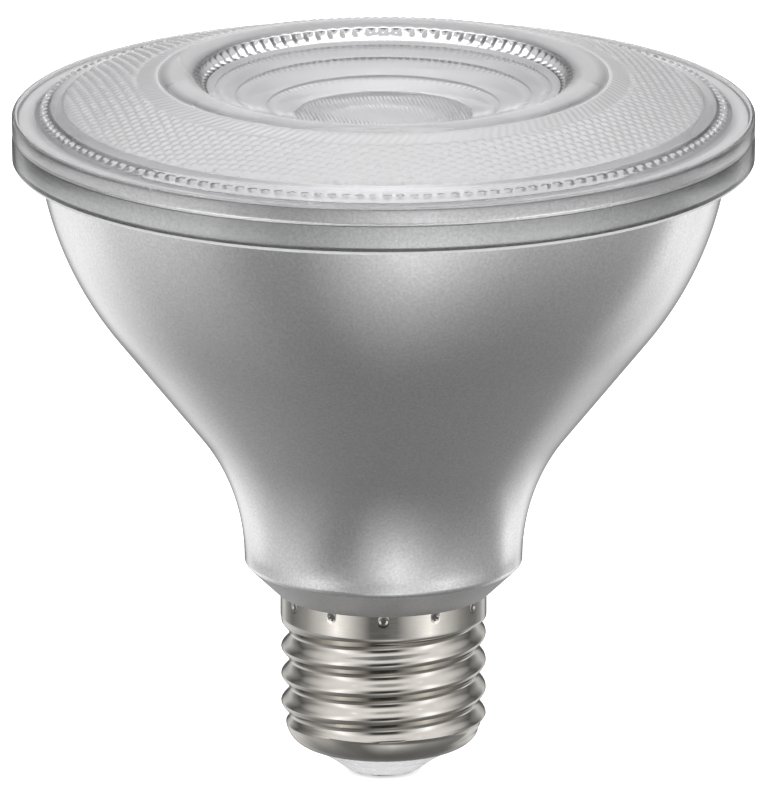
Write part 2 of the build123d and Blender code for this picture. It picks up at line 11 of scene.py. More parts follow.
import bpy
import numpy as np
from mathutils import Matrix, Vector


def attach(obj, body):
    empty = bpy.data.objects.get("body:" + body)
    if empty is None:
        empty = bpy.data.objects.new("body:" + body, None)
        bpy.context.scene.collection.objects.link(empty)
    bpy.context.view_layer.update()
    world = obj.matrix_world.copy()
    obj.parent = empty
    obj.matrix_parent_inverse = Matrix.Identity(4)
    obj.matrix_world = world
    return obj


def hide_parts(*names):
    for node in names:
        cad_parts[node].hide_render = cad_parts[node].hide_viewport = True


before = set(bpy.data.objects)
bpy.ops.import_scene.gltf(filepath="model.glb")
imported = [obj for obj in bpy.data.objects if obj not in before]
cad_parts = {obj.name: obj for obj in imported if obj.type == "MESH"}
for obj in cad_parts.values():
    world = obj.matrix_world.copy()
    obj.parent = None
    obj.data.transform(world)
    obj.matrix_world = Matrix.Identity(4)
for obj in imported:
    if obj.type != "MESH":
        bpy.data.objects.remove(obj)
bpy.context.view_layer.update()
scene = bpy.context.scene
MM = 0.001

# Camera and frame
frame_height = 800
pixels_per_mm = 7.81
view_elevation = 15.5
view_target = (0.32, 0.0, 49.2)
camera_sensor = 36.0
camera_lens = 1200.0
camera_clip_metres = 20.0

# Room: grey levels straight down, in two low bands, in a band at eye level and above. Heights run from
# straight down (0) to straight up (1), and each share says between which heights a band takes over from
# the one below it. Turns in the low bands run from the back (0) over the left, the viewer's side (0.5)
# and the right to the back again (1). At eye level they run from the viewer's side (0) to the back (1),
# the same on both sides. The overhead light is placed and sized in metres.
level_down = 0.2
level_above = 1.3
under_around = (
    (0.0, 0.28), (0.08, 0.32), (0.25, 0.4), (0.31, 0.35), (0.37, 0.25), (0.42, 0.24), (0.47, 0.42),
    (0.53, 0.5), (0.58, 0.4), (0.64, 0.29), (0.7, 0.25),
)
low_around = (
    (0.0, 0.2), (0.03, 0.3), (0.06, 0.95), (0.1, 1.0), (0.146, 1.0), (0.2, 0.7), (0.25, 0.68),
    (0.306, 0.59), (0.36, 0.28), (0.417, 0.26), (0.472, 0.66), (0.53, 1.15), (0.583, 0.75), (0.639, 0.46),
    (0.69, 0.4), (0.775, 0.34), (0.815, 0.4), (0.85, 1.15), (0.89, 0.95), (0.92, 1.0), (0.945, 0.65),
    (0.97, 0.3),
)
eye_around = (
    (0.0, 0.06), (0.08, 0.12), (0.2, 1.2), (0.3, 2.2), (0.38, 1.3), (0.54, 0.45), (0.69, 0.15),
    (0.76, 0.4), (0.82, 0.85), (0.87, 0.6), (0.905, 0.14), (0.945, 0.12), (0.985, 1.0),
)
under_share = ((0.0, 0.0), (0.117, 1.0))
low_share = ((0.117, 0.0), (0.27, 1.0))
eye_share = ((0.335, 0.0), (0.366, 1.0))
above_share = ((0.72, 0.0), (0.88, 1.0))
overhead_place = (0, 0.3, 1.4)
overhead_target = (0, 0, 0.05)
overhead_side = 1.6
overhead_watts = 15
floor_reach_metres = 4.0
floor_glow = 0.5

# Fineness of the meshes: columns round the axis, longest sides along an outline, and rows of points
lens_front_columns = 720
lens_back_columns = 180
body_columns = 256
cap_columns = 480
bevel_side = 0.17
cone_side = 0.34
wall_side = 0.35
dish_side = 0.5
prism_side = 2.0
body_side = 2.0
cap_side = 0.22
seam_rows = 4
rim_rows = 6
ridge_rows = 5
crown_rows = 9
lip_rows = 4
bulge_rows = 8
shoulder_rows = 7
curve_rows = 20
end_rows = 16
cap_inner_row_step = 3
cap_sharp_angle = 60

# Lens
seam_gap = 0.06
rim_radius = 47.5
rim_round = 0.5
seam_round = 0.08
flange_base = 81.2
flange_top = 85.0
rim_top = 87.3
rim_land_radius = 46.2
plug_radius = 42.5
lens_valley = 84.0
bevel_outer = 44.5
bevel_lead = 0.1
bevel_inner = 42.5
bevel_rise = 0.9
cone_foot_radius = 41.2
cone_foot_width = 0.5
cone_foot_rise = 0.25
cone_slope = 16.5
ridge_top = 92.2
ridge_radius = 28.8
ridge_round = 1.0
crown_rise = 0.3
lip_radius = 24.1
lip_round = 0.3
wall_slope = 45.0
wall_radius = 22.6
wall_base = 90.9
dish_slope = 15.2
dish_steps = (21.5, 18.9, 14.9)
dish_step_drop = 0.25
dish_step_width = 0.08
disc_radius = 11.4
disc_edge_width = 0.02
prism_inner = 8.0
prism_outer = 41.0
prism_count = 9
prism_heights = (1.8, 4.4)
prism_draft = 6.0
bulge = 1.6
pole_gap = 2.0
back_edge_inset = 1.0

# Fine moulded relief of the lens
relief_blend = 0.3
cell_pitch = 1.35
cell_turn = -20.0
cell_height = 0.3
cell_inner = 31.7
cell_outer = 40.9
cell_outer_blend = 0.4
bead_count = 157
bead_ring = 43.5
bead_radius = 0.54
bead_height = 0.3
rope_width = 1.1
rope_slant = 0.6
rope_height = 0.1
rope_inner = 28.9
flute_width = 0.95
flute_depth = 0.09
flute_reach = 0.75
flute_blend = 0.2
rib_pitch = 0.5
rib_turn = 9.0
rib_height = 0.03
disc_step = 0.15
facet_count = 90
facet_depth = 0.32
facet_inset = 0.1

# Glass body
cap_length = 24.15
foot_bore = 12.9
foot_radius = 13.9
foot_edge_width = 0.3
foot_edge_rise = 0.15
neck_radius = 17.85
shoulder_slope = 45.0
shoulder_round = 1.0
shoulder_top = 28.514
throat_radius = 27.0
cone_angle = 38.7
bowl_radius = 45.1
mouth_radius = 44.1
mouth_step = 0.6
body_wall = 2.2
flange_bore = 42.6
plug_clearance = 0.1
slot_radius = 46.5
slot_width = 0.2
slot_margin = 0.4
slot_slope = 5.0

# Screw cap
shell_wall = 0.35
collar_radius = 13.25
collar_base = 20.75
collar_blend_below = 0.45
collar_blend_above = 0.1
thread_pitch = 3.629
thread_crest = 13.15
thread_depth = 1.05
thread_start = 0.255
end_round = 3.15
end_round_centre = (9.399, 6.942)
end_round_start = 79.0
end_round_stop = 4.0
end_blend = 0.12
beyond_thread = 99.0
stake_count = 12
stake_reach = 0.5
stake_depth = 0.22
stake_edge = 0.4
# Dent level above which a face lies in a mark's floor and takes its painted shade
stake_floor = 0.0
stake_height = 23.45

# Levels of a noise between which colours and roughness change
noise_low = 0.3
noise_high = 0.7


# Outlines in the half plane through the axis


def arc(centre, radius, start, end, count):
    """Points on a circle in the half plane, angles in degrees from the radial direction."""
    turn = np.radians(np.linspace(start, end, count))
    return np.stack([centre[0] + radius * np.cos(turn), centre[1] + radius * np.sin(turn)], axis=1)


def outline(*parts):
    """One polyline through points and runs of points, given as (radius, height)."""
    return np.concatenate([np.atleast_2d(np.asarray(part, float)) for part in parts])


def divided(points, step):
    """The polyline with its long sides divided evenly, so that no side is longer than the step."""
    sides = np.diff(points, axis=0)
    counts = np.maximum(1, np.ceil(np.linalg.norm(sides, axis=1) / step)).astype(int)
    starts = np.repeat(points[:-1], counts, axis=0)
    shares = np.concatenate([np.arange(count) / count for count in counts])
    filled = starts + np.repeat(sides, counts, axis=0) * shares[:, None]
    return np.concatenate([filled, points[-1:]])


def side_normals(points):
    """Unit normals of a polyline, on the right of its direction."""
    along = np.gradient(points, axis=0)
    normals = np.stack([along[:, 1], -along[:, 0]], axis=1)
    return normals / np.linalg.norm(normals, axis=1, keepdims=True)


def smooth_step(low, high, value):
    """Zero below low, one above high, and a smooth rise between them."""
    share = np.clip((value - low) / (high - low), 0, 1)
    return share * share * (3 - 2 * share)


def between(low, high, value):
    """One between low and high and zero outside, with smooth edges that lie inside."""
    rise = smooth_step(low, low + relief_blend, value)
    return rise * (1 - smooth_step(high - relief_blend, high, value))


# Meshes that go round the axis


def turned(radii, heights, angles):
    """Grid of points from radii and heights by row and angle by column."""
    shape = np.broadcast_shapes(np.shape(radii), np.shape(heights), np.shape(angles))
    radii, heights, angles = (np.broadcast_to(value, shape) for value in (radii, heights, angles))
    return np.stack([radii * np.cos(angles), radii * np.sin(angles), heights], axis=-1)


def columns(count):
    """Angles of that many columns, once round the axis, as a row."""
    return np.linspace(0, 2 * np.pi, count, endpoint=False)[None, :]


def ring_faces(lower, upper):
    """Faces between two rings of vertex numbers. One ring may have a whole multiple of the other's count."""
    if len(upper) < len(lower):
        return [face[::-1] for face in ring_faces(upper, lower)]
    fold = len(upper) // len(lower)
    around = np.stack([np.roll(upper, -shift)[::fold] for shift in range(fold + 1)], axis=1)
    return np.column_stack([lower, np.roll(lower, -1), around[:, ::-1]]).tolist()


def chord_faces(ring, start):
    """Long faces across a ring, between chords that join columns equally far from the start column."""
    half = len(ring) // 2
    left = np.roll(ring, -start)[: half + 1]
    right = np.roll(ring[::-1], start + 1)[: half + 1]
    inner = np.stack([left[1:-2], left[2:-1], right[2:-1], right[1:-2]], axis=1).tolist()
    return [[left[0], left[1], right[1]], *inner, [left[-2], left[-1], right[-2]]]


def round_mesh(name, grids, materials, kinds=None, loop=False, pole=None, chords=None, sharp=40):
    """Closed mesh round the axis from grids of points in millimetres, row after row.

    The first rows lie first along the outline, so that outside is on the outline's right. A loop joins the
    last row to the first. A pole is the height of a point on the axis that closes the first row, and
    chords is the column from which chords close the last row. kinds gives the material number of the
    faces after each row.
    """
    rings = []
    points = []
    first = 0
    for grid in grids:
        numbers = first + np.arange(grid.shape[0] * grid.shape[1]).reshape(grid.shape[:2])
        rings.extend(numbers)
        points.append(grid.reshape(-1, 3))
        first += numbers.size
    kinds = np.zeros(len(rings), int) if kinds is None else np.asarray(kinds)
    pairs = list(zip(rings[:-1], rings[1:], kinds))
    if loop:
        pairs.append((rings[-1], rings[0], kinds[-1]))
    faces = []
    face_kinds = []
    for lower, upper, kind in pairs:
        made = ring_faces(lower, upper)
        faces.extend(made)
        face_kinds.extend([kind] * len(made))
    if pole is not None:
        ring = rings[0][::-1]
        points.append([[0.0, 0.0, pole]])
        made = np.column_stack([ring, np.roll(ring, -1), np.full(len(ring), first)]).tolist()
        faces.extend(made)
        face_kinds.extend([kinds[0]] * len(made))
    if chords is not None:
        made = chord_faces(rings[-1], chords)
        faces.extend(made)
        face_kinds.extend([kinds[-1]] * len(made))
    mesh = bpy.data.meshes.new(name)
    mesh.from_pydata((np.concatenate(points) * MM).tolist(), [], faces)
    for material in materials:
        mesh.materials.append(material)
    mesh.polygons.foreach_set("material_index", np.asarray(face_kinds, np.int32))
    mesh.shade_smooth()
    mesh.set_sharp_from_angle(angle=math.radians(sharp))
    mesh.validate()
    piece = bpy.data.objects.new(name, mesh)
    scene.collection.objects.link(piece)
    return piece


# Materials


def new_material(name, **sockets):
    """Principled material with those constants set on the shader's own sockets."""
    material = bpy.data.materials.new(name)
    material.use_nodes = True
    tree = material.node_tree
    shader = tree.nodes["Principled BSDF"]
    for label, value in sockets.items():
        socket = shader.inputs[label.replace("_", " ")]
        socket.default_value = (*value, 1.0) if isinstance(value, tuple) else value
    return material, tree, shader


def grain(tree, size, detail=2.0, stretch=(1.0, 1.0, 1.0)):
    """Noise on the object's own coordinates with grains of that size in millimetres."""
    place = tree.nodes.new("ShaderNodeTexCoord")
    mapping = tree.nodes.new("ShaderNodeMapping")
    noise = tree.nodes.new("ShaderNodeTexNoise")
    mapping.inputs["Scale"].default_value = stretch
    noise.inputs["Scale"].default_value = 1 / (size * MM)
    noise.inputs["Detail"].default_value = detail
    tree.links.new(place.outputs["Object"], mapping.inputs["Vector"])
    tree.links.new(mapping.outputs["Vector"], noise.inputs["Vector"])
    return noise.outputs["Fac"]


def add_bump(tree, shader, height, depth, strength=1.0):
    """Bump of that depth in millimetres from a height between zero and one."""
    bump = tree.nodes.new("ShaderNodeBump")
    bump.inputs["Strength"].default_value = strength
    bump.inputs["Distance"].default_value = depth * MM
    tree.links.new(height, bump.inputs["Height"])
    tree.links.new(bump.outputs["Normal"], shader.inputs["Normal"])


def vary(tree, socket, share, low, high):
    """Drives a number socket between two values by a share."""
    spread = tree.nodes.new("ShaderNodeMapRange")
    spread.inputs["From Min"].default_value = noise_low
    spread.inputs["From Max"].default_value = noise_high
    spread.inputs["To Min"].default_value = low
    spread.inputs["To Max"].default_value = high
    tree.links.new(share, spread.inputs["Value"])
    tree.links.new(spread.outputs["Result"], socket)


def tint(tree, socket, share, dark, light):
    """Drives a colour socket between two colours by a share."""
    ramp = tree.nodes.new("ShaderNodeValToRGB")
    ramp.color_ramp.elements[0].position = noise_low
    ramp.color_ramp.elements[1].position = noise_high
    ramp.color_ramp.elements[0].color = (*dark, 1.0)
    ramp.color_ramp.elements[1].color = (*light, 1.0)
    tree.links.new(share, ramp.inputs["Fac"])
    tree.links.new(ramp.outputs["Color"], socket)


def clear_plastic(name, roughness, clearness, shine=0.0, tone=1.0):
    """Clear moulded acrylic with the faint flow marks of a moulding, or with a milky or mirroring share."""
    acrylic = (0.97, 0.965, 0.98)
    material, tree, shader = new_material(
        name,
        Base_Color=tuple(level * tone for level in acrylic),
        Transmission_Weight=clearness,
        IOR=1.49,
        Roughness=roughness,
        Metallic=shine,
    )
    add_bump(tree, shader, grain(tree, size=9.0), depth=0.01, strength=0.2)
    return material


def clear_glass():
    """Pressed clear glass of the body flange, faintly wavy."""
    material, tree, shader = new_material(
        "clear_glass", Base_Color=(0.97, 0.985, 0.98), Transmission_Weight=1.0, IOR=1.5, Roughness=0.0
    )
    add_bump(tree, shader, grain(tree, size=6.0), depth=0.02, strength=0.25)
    return material


def silvered_glass(name, dark, light, roughness, coat):
    """Metal film with a fine grain, seen through the smooth glass that carries it."""
    material, tree, shader = new_material(
        name, Metallic=1.0, Coat_Weight=coat, Coat_Roughness=0.02, Coat_IOR=1.5
    )
    fine = grain(tree, size=0.35, detail=3.0)
    tint(tree, shader.inputs["Base Color"], fine, dark, light)
    uneven = grain(tree, size=5.0)
    vary(tree, shader.inputs["Roughness"], uneven, low=roughness * 0.9, high=roughness * 1.1)
    add_bump(tree, shader, fine, depth=0.02, strength=0.25)
    return material


def rolled_nickel():
    """Bright nickel plate, drawn round the axis by the rolling of the thread."""
    material, tree, shader = new_material("rolled_nickel", Metallic=1.0)
    drawn = grain(tree, size=0.6, detail=3.0, stretch=(0.25, 0.25, 2.5))
    cloudy = grain(tree, size=3.0)
    tint(tree, shader.inputs["Base Color"], cloudy, dark=(0.48, 0.46, 0.427), light=(0.54, 0.517, 0.48))
    vary(tree, shader.inputs["Roughness"], drawn, low=0.08, high=0.12)
    add_bump(tree, shader, drawn, depth=0.01, strength=0.08)
    return material


def finish(name, dark, light, roughness, size=0.6, depth=0.02, metallic=0.0):
    """Everyday finish: two close colours in a fine grain with a slight bump."""
    material, tree, shader = new_material(name, Metallic=metallic)
    fine = grain(tree, size)
    tint(tree, shader.inputs["Base Color"], fine, dark, light)
    vary(tree, shader.inputs["Roughness"], fine, low=roughness * 0.85, high=min(1.0, roughness * 1.15))
    add_bump(tree, shader, fine, depth, strength=0.4)
    return material


# Pieces


def dome_heights(x, y):
    """Round domes on a honeycomb lattice: one at each centre, zero where three domes meet."""
    turn = math.radians(cell_turn)
    u = x * math.cos(turn) + y * math.sin(turn)
    v = y * math.cos(turn) - x * math.sin(turn)
    row = cell_pitch * math.sqrt(3)

    def squared_distance(shift):
        along = u - shift * cell_pitch
        across = v - shift * row
        along = along - cell_pitch * np.round(along / cell_pitch)
        across = across - row * np.round(across / row)
        return along**2 + across**2

    nearest = np.minimum(squared_distance(0.0), squared_distance(0.5))
    return 1 - 3 * nearest / cell_pitch**2


def bead_heights(radii, angles):
    """Ring of round beads along the bevel, each a cap that falls to zero at its edge."""
    place = angles * bead_count / (2 * np.pi)
    along = (place - np.round(place)) * 2 * np.pi * bead_ring / bead_count
    return np.maximum(0, 1 - (along**2 + (radii - bead_ring) ** 2) / bead_radius**2)


def slot_wall(height):
    """Radius of the silvered slot's outer wall, which leans outwards as it rises from the body flange."""
    return slot_radius + (height - flange_base) * math.tan(math.radians(slot_slope))


def lens_front_outline():
    """Front of the lens from the rim's lower edge inwards to the edge of the centre disc."""
    ridge = arc((ridge_radius, ridge_top - ridge_round), ridge_round, 90 - cone_slope, 90, ridge_rows)
    lip = arc((lip_radius, ridge_top - lip_round), lip_round, 90, 90 + wall_slope, lip_rows)
    cone_drop = (cone_foot_radius - ridge[0, 0]) * math.tan(math.radians(cone_slope))
    base = flange_top + seam_gap / 2
    bevel_top = rim_top + bevel_rise
    fall = math.tan(math.radians(dish_slope))
    half_step = dish_step_width / 2
    radius = wall_radius
    height = wall_base
    dish = [(radius, height)]
    for step_radius in dish_steps:
        height -= (radius - step_radius) * fall
        dish.append((step_radius + half_step, height + half_step * fall))
        height -= dish_step_drop
        dish.append((step_radius - half_step, height))
        radius = step_radius
    height -= (radius - disc_radius) * fall
    across = np.linspace(1, -1, crown_rows + 2)[1:-1]
    land = (ridge_radius + lip_radius + across * (ridge_radius - lip_radius)) / 2
    crown = np.stack([land, ridge_top + crown_rise * (1 - across**2)], axis=1)
    return outline(
        arc((rim_radius - seam_round, base + seam_round), seam_round, -90, 0, seam_rows),
        arc((rim_radius - rim_round, rim_top - rim_round), rim_round, 0, 90, rim_rows),
        (rim_land_radius, rim_top),
        divided(outline((bevel_outer + bevel_lead, rim_top), (bevel_inner, bevel_top)), bevel_side),
        (cone_foot_radius + cone_foot_width, bevel_top + cone_foot_rise),
        divided(outline((cone_foot_radius, ridge[0, 1] - cone_drop), ridge[0]), cone_side),
        ridge[1:],
        crown,
        lip[:-1],
        divided(outline(lip[-1], dish[0]), wall_side)[:-1],
        divided(outline(*dish, (disc_radius, height)), dish_side),
    )


def lens_back_outline():
    """Back of the lens from the axis outwards: centre bulge, saw-tooth prism rings, plug and flange face."""
    curve = (prism_inner**2 + bulge**2) / (2 * bulge)
    reach = math.degrees(math.asin(prism_inner / curve))
    pitch = (prism_outer - prism_inner) / prism_count
    rings = np.arange(prism_count)
    heights = np.linspace(*prism_heights, prism_count)
    edges = prism_inner + rings * pitch + heights * math.tan(math.radians(prism_draft))
    valleys = prism_inner + (rings + 1) * pitch
    teeth = np.stack([edges, lens_valley - heights, valleys, np.full(prism_count, lens_valley)], axis=1)
    base = flange_top + seam_gap / 2
    top = rim_top - slot_margin
    return outline(
        arc((0, lens_valley - bulge + curve), curve, pole_gap - 90, reach - 90, bulge_rows),
        divided(teeth.reshape(-1, 2), prism_side),
        (plug_radius, lens_valley),
        (plug_radius, base),
        (slot_wall(base) - slot_width, base),
        (slot_wall(top) - slot_width, top),
        (slot_wall(top), top),
        (slot_wall(base), base),
        (rim_radius - back_edge_inset, base),
    )


def flute_heights(radii, angles):
    """Radial flutes on the outer part of each dish step, as hollows between sharp edges."""
    height = np.zeros(np.broadcast_shapes(radii.shape, angles.shape))
    for step_radius in dish_steps:
        count = round(2 * np.pi * step_radius / flute_width)
        place = angles * count / (2 * np.pi)
        hollow = 1 - 4 * (place - np.round(place)) ** 2
        start = step_radius - flute_reach
        inside = smooth_step(start, start + flute_blend, radii)
        height = height - hollow * inside * (radii < step_radius)
    return height


def lens_relief(radii, angles):
    """Height of the front's fine relief by radius and angle, measured along the outline's normal.

    It is the sum of the domes on the cone, the rope-like ring beside the ridge, the beads on the bevel and
    the flutes in the dish, less the facets of the wall inside the crown.
    """
    cone = smooth_step(cell_inner - relief_blend, cell_inner + relief_blend, radii)
    cone = cone * (1 - smooth_step(cell_outer - cell_outer_blend, cell_outer, radii))
    domes = cell_height * cone * dome_heights(radii * np.cos(angles), radii * np.sin(angles))
    rope_count = round(2 * np.pi * rope_inner / rope_width)
    strands = np.abs(np.sin((angles + rope_slant * np.log(radii / rope_inner)) * rope_count / 2))
    rope = rope_height * between(rope_inner, cell_inner, radii) * strands
    beads = bead_height * bead_heights(radii, angles)
    flutes = flute_depth * flute_heights(radii, angles)
    place = angles * facet_count / (2 * np.pi)
    wall = between(wall_radius + facet_inset, lip_radius, radii)
    facets = 2 * facet_depth * wall * np.abs(place - np.round(place))
    return domes + rope + beads + flutes - facets


def lens_kinds(front, back):
    """Material number of the faces after each row: the back, its slot, then the front's zones by radius.

    The numbers follow the order in which the lens's materials are listed.
    """
    clear, behind, slot, scales, crown, beads, smooth, facets = range(8)
    back_rows = len(back)
    kinds = np.full(back_rows + len(front) + 1, clear)
    kinds[:back_rows] = behind
    # The slot's three walls start at the fifth last point of the back
    kinds[back_rows - 5 : back_rows - 2] = slot
    middles = (front[:-1, 0] + front[1:, 0]) / 2
    edges = (bevel_outer, bevel_inner, cell_outer, ridge_radius, lip_radius, wall_radius)
    zones = (clear, beads, smooth, scales, crown, facets)
    kinds[back_rows : back_rows + len(middles)] = np.select([middles > edge for edge in edges], zones, smooth)
    return kinds


def make_lens(materials):
    """Clear lens turned round the axis, with its crown, its fine relief and its zones of finish.

    Each front point is the outline's point moved along the outline's normal by the relief at its radius
    and angle. The centre disc is ruled by chords at right angles to the direction across its ribs, so its
    edge gives its whole surface. The back is turned in fewer columns and joins the front under the rim.
    """
    front = lens_front_outline()
    back = lens_back_outline()
    normals = side_normals(front)
    angles = columns(lens_front_columns)
    relief = lens_relief(front[:, :1], angles)
    radii = front[:, :1] + relief * normals[:, :1]
    heights = front[:, 1:] + relief * normals[:, 1:]
    front_grid = turned(radii, heights, angles)
    disc_edge = disc_radius - disc_edge_width
    across = disc_edge * np.cos(angles - math.radians(rib_turn))
    ribs = rib_height * np.sin(2 * np.pi * across / rib_pitch)
    disc_grid = turned(disc_edge, front[-1, 1] - disc_step + ribs, angles)
    back_grid = turned(back[:, :1], back[:, 1:], columns(lens_back_columns))
    grids = [back_grid, front_grid, disc_grid]
    kinds = lens_kinds(front, back)
    rib_column = round(rib_turn * angles.size / 360)
    return round_mesh("lens", grids, materials, kinds, pole=lens_valley - bulge, chords=rib_column)


def bowl_centre():
    """Centre of the bowl's arc, which touches the straight cone and ends at the mouth.

    It lies on the line one bowl radius inside the cone, at the lower of the two points that are one bowl
    radius from the mouth.
    """
    slope = math.radians(cone_angle)
    along = np.array([math.sin(slope), math.cos(slope)])
    outward = np.array([math.cos(slope), -math.sin(slope)])
    throat_centre = np.array([neck_radius + throat_radius, shoulder_top])
    touching = throat_centre - (throat_radius + bowl_radius) * outward
    gap = touching - np.array([mouth_radius, flange_base])
    reach = gap @ along
    return touching - along * (math.sqrt(reach**2 - gap @ gap + bowl_radius**2) + reach)


def bowl_angle(centre, radius, height):
    """Angle at which the bowl's arc of that radius has that height."""
    return math.degrees(math.asin((height - centre[1]) / radius))


def make_body(materials):
    """Glass body turned round the axis: outer face up to the clear flange, then the inner face back down.

    The foot is matt, the outer face and the flange's slot are silvered, the flange's lower edge is ground,
    its rim is clear, and the inner face is a mirror. The numbers of these finishes follow the order in
    which the body's materials are listed.
    """
    bowl = bowl_centre()
    shoulder = (neck_radius - shoulder_round, shoulder_top)
    throat = (neck_radius + throat_radius, shoulder_top)
    inner_bowl = bowl_radius - body_wall
    top = flange_top - seam_gap / 2
    slot_floor = flange_base + slot_width
    outer = divided(
        outline(
            (foot_radius - foot_edge_width, cap_length),
            (foot_radius, cap_length + foot_edge_rise),
            arc(shoulder, shoulder_round, -shoulder_slope, 0, shoulder_rows),
            arc(throat, throat_radius, 180, 180 - cone_angle, curve_rows)[1:],
            arc(bowl, bowl_radius, -cone_angle, bowl_angle(bowl, bowl_radius, flange_base), curve_rows),
        ),
        body_side,
    )
    flange = outline(
        (mouth_radius + mouth_step, flange_base),
        arc((rim_radius - rim_round, flange_base + rim_round), rim_round, -90, 0, rim_rows),
        arc((rim_radius - seam_round, top - seam_round), seam_round, 0, 90, seam_rows),
        (slot_wall(top), top),
        (slot_wall(slot_floor), slot_floor),
        (slot_wall(slot_floor) - slot_width, slot_floor),
        (slot_wall(top) - slot_width, top),
        (flange_bore, top),
        (flange_bore, lens_valley - plug_clearance),
    )
    neck_bore = neck_radius - body_wall
    inner = divided(
        outline(
            arc(bowl, inner_bowl, bowl_angle(bowl, inner_bowl, flange_base), -cone_angle, curve_rows),
            arc(throat, throat_radius + body_wall, 180 - cone_angle, 180, curve_rows),
            (neck_bore, cap_length + neck_bore - foot_radius + body_wall),
            (foot_bore, cap_length + foot_bore - foot_radius + body_wall),
            (foot_bore, cap_length),
        ),
        body_side,
    )
    path = outline(outer, flange, inner)
    silver, clear, inside, ground, matt = range(5)
    foot_rows = 4
    ground_rows = rim_rows
    slot_rows = 6
    clear_rows = len(flange) - ground_rows - slot_rows
    kinds = np.repeat(
        [matt, silver, ground, clear, silver, inside],
        [foot_rows, len(outer) - foot_rows, ground_rows, clear_rows, slot_rows, len(inner)],
    )
    grid = turned(path[:, :1], path[:, 1:], columns(body_columns))
    return round_mesh("body", [grid], materials, kinds, loop=True)


def thread_radius(heights, angles):
    """Knuckle thread: a level circle whose centre climbs a right-hand helix half a thread depth wide."""
    offset = thread_depth / 2
    turn = angles - 2 * np.pi * (heights - thread_start) / thread_pitch
    return offset * np.cos(turn) + np.sqrt((thread_crest - offset) ** 2 - (offset * np.sin(turn)) ** 2)


def soft_least(first, second, reach):
    """The smaller of two values, rounded off where they differ by less than the reach."""
    share = np.clip(0.5 + 0.5 * (second - first) / reach, 0, 1)
    return second + (first - second) * share - reach * share * (1 - share)


def make_cap(materials):
    """Thin rolled shell: rounded end, knuckle thread, collar and a ring of punched staking marks.

    The outer radius is the thread's, held inside a limit, and goes over to the collar's radius at the top.
    The limit is the rounded end's outline, and opens at 45 degrees above it. The inner face follows one
    wall further in. Faces whose four corners lie in a staking mark take the second material, a near-black
    finish that paints shade into the mark's floor.
    """
    angles = columns(cap_columns)
    end = arc(end_round_centre, end_round, -end_round_start, -end_round_stop, end_rows)
    straight = np.arange(end[-1, 1] + cap_side, cap_length, cap_side)
    heights = np.concatenate([end[:, 1], straight, [cap_length]])[:, None]
    beyond = end_round_centre[0] + end_round + (straight - end_round_centre[1])
    limit = np.concatenate([end[:, 0], beyond, [beyond_thread]])[:, None]
    radii = soft_least(thread_radius(heights, angles), limit, end_blend)
    collar = smooth_step(collar_base - collar_blend_below, collar_base + collar_blend_above, heights)
    radii = radii + (collar_radius - radii) * collar
    place = angles * stake_count / (2 * np.pi)
    along = (place - np.round(place)) * 2 * np.pi * collar_radius / stake_count
    dent = 1 - (along**2 + (heights - stake_height) ** 2) / stake_reach**2
    marked = radii - stake_depth * smooth_step(0, stake_edge, dent)
    outer = turned(marked, heights, angles)
    end_rise = shell_wall * (end_round_centre[1] - end[:, 1]) / end_round
    rise = np.pad(end_rise, (0, len(heights) - end_rows))[:, None]
    inner = turned(radii - shell_wall, heights + rise, angles)[::-cap_inner_row_step]
    piece = round_mesh("cap", [outer, inner], materials, loop=True, sharp=cap_sharp_angle)
    corners = dent > stake_floor
    next_corners = np.roll(corners, -1, axis=1)
    painted_shade_floors = corners[:-1] & corners[1:] & next_corners[:-1] & next_corners[1:]
    numbers = np.zeros(len(piece.data.polygons), np.int32)
    numbers[: painted_shade_floors.size] = painted_shade_floors.reshape(-1)
    piece.data.polygons.foreach_set("material_index", numbers)
    return piece


# Studio


def add_softbox(name, place, target, width, height, watts):
    """Rectangular soft light, placed and aimed in metres."""
    light = bpy.data.lights.new(name, "AREA")
    light.shape = "RECTANGLE"
    light.size = width
    light.size_y = height
    light.energy = watts
    lamp = bpy.data.objects.new(name, light)
    lamp.location = place
    lamp.rotation_euler = (Vector(target) - Vector(place)).to_track_quat("-Z", "Y").to_euler()
    scene.collection.objects.link(lamp)


def grey_ramp(tree, factor, stops):
    """Grey level along a factor from zero to one, through stops of (position, level)."""
    ramp = tree.nodes.new("ShaderNodeValToRGB")
    elements = ramp.color_ramp.elements
    while len(elements) < len(stops):
        elements.new(0.5)
    for element, (position, level) in zip(elements, stops):
        element.position = position
        element.color = (level, level, level, 1.0)
    ramp.color_ramp.interpolation = "LINEAR"
    tree.links.new(factor, ramp.inputs["Fac"])
    return ramp.outputs["Color"]


def calculate(tree, operation, first, second=None):
    """Output of one math node on a socket and a socket or number."""
    node = tree.nodes.new("ShaderNodeMath")
    node.operation = operation
    tree.links.new(first, node.inputs[0])
    if isinstance(second, bpy.types.NodeSocket):
        tree.links.new(second, node.inputs[1])
    elif second is not None:
        node.inputs[1].default_value = second
    return node.outputs["Value"]


def blend(tree, share, first, second):
    """Mix of two colours by a share. Each is a socket or a grey level."""
    mix = tree.nodes.new("ShaderNodeMix")
    mix.data_type = "RGBA"
    tree.links.new(share, mix.inputs["Factor"])
    for socket, colour in ((mix.inputs["A"], first), (mix.inputs["B"], second)):
        if isinstance(colour, bpy.types.NodeSocket):
            tree.links.new(colour, socket)
        else:
            socket.default_value = (colour, colour, colour, 1.0)
    return mix.outputs["Result"]


